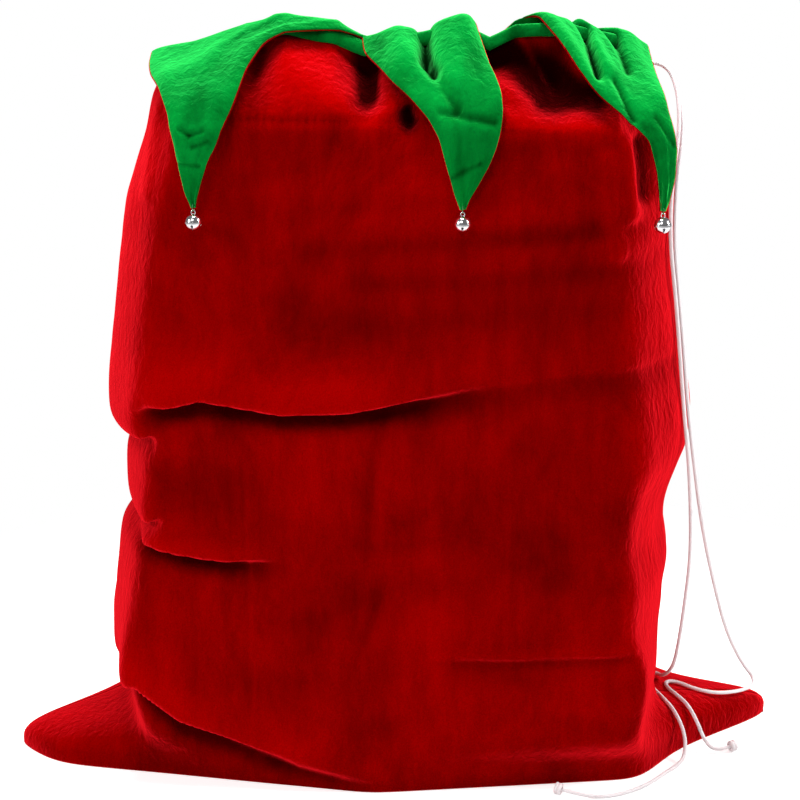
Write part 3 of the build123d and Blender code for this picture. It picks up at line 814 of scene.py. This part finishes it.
def point_surface(name, seed, layer):
    """One layer of a collar point (0 the face, 1 the lining): its points in metres, as rows from inside the
    roll to the tip, its hinge in metres, its outward direction, and how far each point lies in a hollow, which
    the velvet paints as shade in hollows and as highlight on ridges."""
    joint = joints[f"petal_{name}_fold"]
    hinge = np.array(joint["pos_m"]) / MM
    along = -np.array(joint["axis"])
    out = np.cross(along, (0.0, 0.0, 1.0))
    bell_low, bell_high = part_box(f"bell_cap_{name}")
    reach = float(np.dot((np.array(bell_low) + np.array(bell_high)) / 2 / MM - hinge, out))
    (left_depths, left_places), (right_depths, right_places) = point_edges[name]
    turn = np.linspace(ROLL_START, ROLL_END, ROLL_ROWS)[:-1, None]
    hang = np.linspace(ROLL_TOP, DROP, HANG_ROWS)[:, None]
    depth = np.concatenate([np.full((ROLL_ROWS - 1, 1), ROLL_TOP), hang])
    roll_size = 11.5
    down_cloth = depth.copy()
    down_cloth[: ROLL_ROWS - 1] -= (ROLL_END - turn) * roll_size
    low = blur(np.interp(down_cloth[:, 0], left_depths, left_places), 1.5, 0, "edge")[:, None]
    high = blur(np.interp(down_cloth[:, 0], right_depths, right_places), 1.5, 0, "edge")[:, None]
    share = np.linspace(0.0, 1.0, ACROSS)[None, :]
    rows = len(depth)
    place = low + (high - low) * share
    reach_out = drape(depth, reach) + 0.0 * place
    up = -depth + 0.0 * place
    reach_out[: ROLL_ROWS - 1] += roll_size * (np.sin(turn) - np.sin(ROLL_END))
    up[: ROLL_ROWS - 1] += roll_size * (np.cos(turn) - np.cos(ROLL_END))
    top = 1 - step(depth, -16, 46)
    wave = noise(rows, ACROSS, 26, 7.0, seed) + 0.6 * noise(rows, ACROSS, 14, 3.6, seed + 1)
    soft = noise(rows, ACROSS, 9, 9, seed + 2)
    fine = noise(rows, ACROSS, 3, 3, seed + 3)
    lower = step(depth, 30, 70)
    cross = noise(rows, ACROSS, 2.6, 12, seed + 4)
    puff_out = 4.5 * top * wave + 2.6 * soft + 0.6 * fine + 1.2 * lower * cross
    for start, end, width, height in point_folds.get(name, ()):
        puff_out = puff_out + height * groove(place, down_cloth, start, end, width)
    # Painted shade in the hollows of the point's folds and painted highlight on their ridges.
    point_painted_shading = 1.1 * hollows(puff_out, 8, 8, "edge") + 0.25 * hollows(puff_out, 3, 3, "edge")
    edge = np.minimum(share, 1 - share) * (high - low)
    curl = 2.2 * np.exp(-edge / 4.0)
    lift_out = 1.6 + puff_out - curl - 1.5 * layer
    slope = np.gradient(reach_out, axis=0) / np.maximum(
        np.hypot(np.gradient(reach_out, axis=0), np.gradient(up, axis=0)), 1e-6
    )
    level_share = np.sqrt(np.clip(1 - slope**2, 0, 1))
    reach_out = reach_out + lift_out * level_share
    up = up + lift_out * np.abs(slope) * 0.9
    at_x = hinge[0] + along[0] * place + out[0] * reach_out
    at_y = hinge[1] + along[1] * place + out[1] * reach_out
    up = up + rim_lift(at_x, np.sign(out[1]) * 60.0 + 0 * at_y) * (1 - step(depth, -18, 60))
    # The lining shows as a thin line past the face's edges.
    grow = 0.9 * layer
    at_x = at_x + along[0] * grow * (share * 2 - 1)
    at_y = at_y + along[1] * grow * (share * 2 - 1)
    up = up - grow * step(depth, 100, DROP)
    return np.stack([at_x, at_y, hinge[2] + up], axis=-1) * MM, hinge * MM, out, point_painted_shading


# Each point is built as a green velvet face and a red velvet lining, each given its cloth thickness.
for number, name in enumerate(point_edges):
    for layer, kind, paint, finish in (
        (0, "face", velvet_green, "green_velvet"),
        (1, "lining", velvet_red, "red_velvet"),
    ):
        points, hinge, out, point_painted_shading = point_surface(name, 100 + 10 * number, layer)
        cloth = grid_piece(f"point_{kind}_{name}", points, inside=True, painted_shading_field=point_painted_shading)
        thickness = cloth.modifiers.new("cloth", "SOLIDIFY")
        thickness.thickness = 0.9 * MM
        thickness.offset = 0.0
        cloth.data.materials.append(paint)
        bpy.context.view_layer.objects.active = cloth
        for other in bpy.context.selected_objects:
            other.select_set(False)
        cloth.select_set(True)
        bpy.ops.object.modifier_apply(modifier="cloth")
        start = hinge + (0.0, 0.0, 0.016) - 0.004 * out
        end = hinge + 0.030 * out + (0.0, 0.0, 0.004)
        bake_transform(cloth)
        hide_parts(f"petal_{kind}_{name}")


# ---- bells ----
# Plated jingle bells pressed from two halves, with a ring on top, crossed slots below and a steel ball inside;
# a few turns of green thread tie each one on.
def plain_metal(name, colour, roughness, wear_scale):
    """Bright plated metal with faint patches of handling on it."""
    paint = bpy.data.materials.new(name)
    paint.use_nodes = True
    nodes, links = paint.node_tree.nodes, paint.node_tree.links
    surface = nodes["Principled BSDF"]
    surface.inputs["Base Color"].default_value = (*colour, 1.0)
    surface.inputs["Metallic"].default_value = 1.0
    place = nodes.new("ShaderNodeTexCoord")
    marks = nodes.new("ShaderNodeTexNoise")
    marks.inputs["Scale"].default_value = wear_scale
    marks.inputs["Detail"].default_value = 4.0
    span = nodes.new("ShaderNodeMapRange")
    span.inputs["To Min"].default_value = roughness * 0.7
    span.inputs["To Max"].default_value = roughness * 1.5
    links.new(place.outputs["Object"], marks.inputs["Vector"])
    links.new(marks.outputs["Fac"], span.inputs["Value"])
    links.new(span.outputs["Result"], surface.inputs["Roughness"])
    return paint


bell_plate = plain_metal("bell_plate", (0.78, 0.78, 0.80), 0.16, 320.0)
pea_steel = plain_metal("pea_steel", (0.45, 0.45, 0.47), 0.35, 500.0)
sewing_thread = bpy.data.materials.new("sewing_thread")
sewing_thread.use_nodes = True
thread_nodes, thread_links = sewing_thread.node_tree.nodes, sewing_thread.node_tree.links
thread_twist = thread_nodes.new("ShaderNodeTexWave")
thread_twist.inputs["Scale"].default_value = 900.0
thread_colours = thread_nodes.new("ShaderNodeMix")
thread_colours.data_type = "RGBA"
thread_colours.inputs["A"].default_value = (0.01, 0.10, 0.03, 1.0)
thread_colours.inputs["B"].default_value = (0.03, 0.30, 0.08, 1.0)
thread_place = thread_nodes.new("ShaderNodeTexCoord")
thread_links.new(thread_place.outputs["Object"], thread_twist.inputs["Vector"])
thread_links.new(thread_twist.outputs["Fac"], thread_colours.inputs["Factor"])
thread_links.new(thread_colours.outputs["Result"], thread_nodes["Principled BSDF"].inputs["Base Color"])
for name in point_edges:
    for node, paint in (
        ("bell_cap", bell_plate),
        ("bell_cup", bell_plate),
        ("bell_pea", pea_steel),
        ("bell_thread", sewing_thread),
    ):
        slots = frame["nodes"][f"{node}_{name}"].data.materials
        slots.clear()
        slots.append(paint)

# ---- drawstring ----
# One soft white cord runs round the neck inside its casing. Both ends leave at the right side seam, hang down
# the side together and lie over the right ear; each ends in a knot.
front_tail = [
    (0.2505, -0.0024, 0.7290),
    (0.2650, -0.0024, 0.7290),
    (0.2770, -0.0140, 0.7060),
    (0.2790, -0.0360, 0.6680),
    (0.2710, -0.0580, 0.6180),
    (0.2710, -0.0630, 0.5600),
    (0.2790, -0.0590, 0.5030),
    (0.2850, -0.0630, 0.4460),
    (0.2910, -0.0600, 0.3890),
    (0.2980, -0.0640, 0.3330),
    (0.3030, -0.0570, 0.2770),
    (0.3050, -0.0500, 0.2220),
    (0.3020, -0.0390, 0.1680),
    (0.2990, -0.0210, 0.1160),
    (0.2960, 0.0040, 0.0760),
    (0.2870, 0.0280, 0.0560),
    (0.2830, 0.0460, 0.0515),
    (0.2740, 0.0540, 0.0510),
    (0.2660, 0.0450, 0.0512),
    (0.2710, 0.0270, 0.0515),
    (0.2750, 0.0060, 0.0515),
    (0.2850, -0.0160, 0.0500),
    (0.2970, -0.0380, 0.0440),
    (0.3070, -0.0540, 0.0240),
    (0.3060, -0.0680, 0.0065),
    (0.2970, -0.0830, 0.0024),
    (0.2840, -0.0990, 0.0024),
    (0.2720, -0.1170, 0.0024),
    (0.2570, -0.1350, 0.0024),
    (0.2360, -0.1510, 0.0024),
    (0.2120, -0.1600, 0.0024),
    (0.1880, -0.1580, 0.0046),
    (0.1670, -0.1500, 0.0072),
]
back_tail = [
    (0.2505, 0.0024, 0.7290),
    (0.2650, 0.0024, 0.7290),
    (0.2790, -0.0040, 0.7040),
    (0.2830, -0.0270, 0.6660),
    (0.2760, -0.0500, 0.6150),
    (0.2760, -0.0560, 0.5570),
    (0.2830, -0.0520, 0.5000),
    (0.2900, -0.0560, 0.4430),
    (0.2960, -0.0530, 0.3860),
    (0.3040, -0.0560, 0.3300),
    (0.3130, -0.0400, 0.2760),
    (0.3240, -0.0200, 0.2230),
    (0.3370, 0.0010, 0.1720),
    (0.3500, 0.0220, 0.1240),
    (0.3650, 0.0440, 0.0850),
    (0.3790, 0.0610, 0.0570),
    (0.3900, 0.0670, 0.0420),
    (0.3910, 0.0560, 0.0365),
    (0.3790, 0.0420, 0.0360),
    (0.3610, 0.0290, 0.0380),
    (0.3420, 0.0200, 0.0410),
    (0.3210, 0.0240, 0.0440),
    (0.3030, 0.0360, 0.0470),
    (0.2900, 0.0310, 0.0485),
    (0.2920, 0.0150, 0.0480),
    (0.3010, -0.0010, 0.0470),
    (0.3120, -0.0180, 0.0430),
    (0.3210, -0.0320, 0.0300),
    (0.3280, -0.0420, 0.0140),
    (0.3370, -0.0480, 0.0055),
    (0.3500, -0.0460, 0.0060),
    (0.3620, -0.0390, 0.0074),
]
CORD = 0.004


def cord_material():
    """White braid: slanting bands through the cord, in the piece's own metres, with a low bump."""
    paint = bpy.data.materials.new("white_braid")
    paint.use_nodes = True
    nodes, links = paint.node_tree.nodes, paint.node_tree.links
    surface = nodes["Principled BSDF"]
    place = nodes.new("ShaderNodeTexCoord")
    strands = nodes.new("ShaderNodeTexWave")
    strands.wave_type = "BANDS"
    strands.bands_direction = "DIAGONAL"
    strands.inputs["Scale"].default_value = 420.0
    strands.inputs["Distortion"].default_value = 0.6
    colours = nodes.new("ShaderNodeMix")
    colours.data_type = "RGBA"
    colours.inputs["A"].default_value = (0.86, 0.78, 0.80, 1.0)
    colours.inputs["B"].default_value = (0.97, 0.94, 0.95, 1.0)
    bump = nodes.new("ShaderNodeBump")
    bump.inputs["Strength"].default_value = 0.35
    bump.inputs["Distance"].default_value = 0.0004
    links.new(place.outputs["Object"], strands.inputs["Vector"])
    links.new(strands.outputs["Fac"], colours.inputs["Factor"])
    links.new(colours.outputs["Result"], surface.inputs["Base Color"])
    links.new(strands.outputs["Fac"], bump.inputs["Height"])
    links.new(bump.outputs["Normal"], surface.inputs["Normal"])
    surface.inputs["Roughness"].default_value = 0.75
    surface.inputs["Sheen Weight"].default_value = 0.3
    return paint


white_braid = cord_material()


CORD_CLEAR = 0.0032
PRESS_DEPTH = 0.012
PRESS_WIDTH = 0.009


def press_cloth(panel, path):
    """Moves the cloth inwards, along its own normals, where a cord's centreline at the given points would lie
    nearer to it than the cord's half thickness and a little more."""
    count = len(panel.data.vertices)
    places = np.empty(count * 3, dtype=np.float32)
    for _ in range(3):
        normals = np.empty(count * 3, dtype=np.float32)
        panel.data.vertices.foreach_get("co", places)
        panel.data.vertex_normals.foreach_get("vector", normals)
        point, out = places.reshape(-1, 3), normals.reshape(-1, 3)
        near = np.flatnonzero((point[:, 0] > 0.14) & (out[:, 2] > -0.3))
        to_cord = np.empty((len(near), 3), dtype=np.float32)
        for start in range(0, len(near), 4000):
            part = near[start : start + 4000]
            away = path[None] - point[part][:, None]
            closest = np.argmin(np.einsum("ijk,ijk->ij", away, away), axis=1)
            to_cord[start : start + 4000] = away[np.arange(len(part)), closest]
        height = np.einsum("ij,ij->i", to_cord, out[near])
        aside = np.linalg.norm(to_cord - height[:, None] * out[near], axis=1)
        need = np.clip(CORD_CLEAR - height, 0.0, PRESS_DEPTH) * (height > -PRESS_DEPTH)
        need = need * np.exp(-((aside / PRESS_WIDTH) ** 2))
        point[near] -= need[:, None] * out[near]
        panel.data.vertices.foreach_set("co", places)
        panel.data.update()


for node in ("drawstring_run", "drawstring_knot_front", "drawstring_knot_back"):
    frame["nodes"][node].data.materials.clear()
    frame["nodes"][node].data.materials.append(white_braid)
for name, route, length in (("front", front_tail, 1.087), ("back", back_tail, 1.017)):
    curve = bpy.data.curves.new(f"cord_{name}", "CURVE")
    curve.dimensions = "3D"
    spline = curve.splines.new("NURBS")
    spline.points.add(len(route) - 1)
    spline.points.foreach_set("co", np.column_stack([route, np.ones(len(route))]).ravel())
    spline.order_u = 3
    spline.use_endpoint_u = True
    spline.resolution_u = 8
    tail = bpy.data.objects.new(f"cord_{name}", curve)
    scene.collection.objects.link(tail)
    bare = bpy.data.meshes.new_from_object(tail)
    path = np.empty(len(bare.vertices) * 3, dtype=np.float32)
    bare.vertices.foreach_get("co", path)
    bpy.data.meshes.remove(bare)
    for panel in panels:
        press_cloth(panel, path.reshape(-1, 3))
    curve.bevel_depth = CORD / 2
    curve.bevel_resolution = 4
    curve.use_fill_caps = True
    curve.materials.append(white_braid)
    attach(tail, "sack")
    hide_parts(f"drawstring_tail_{name}")
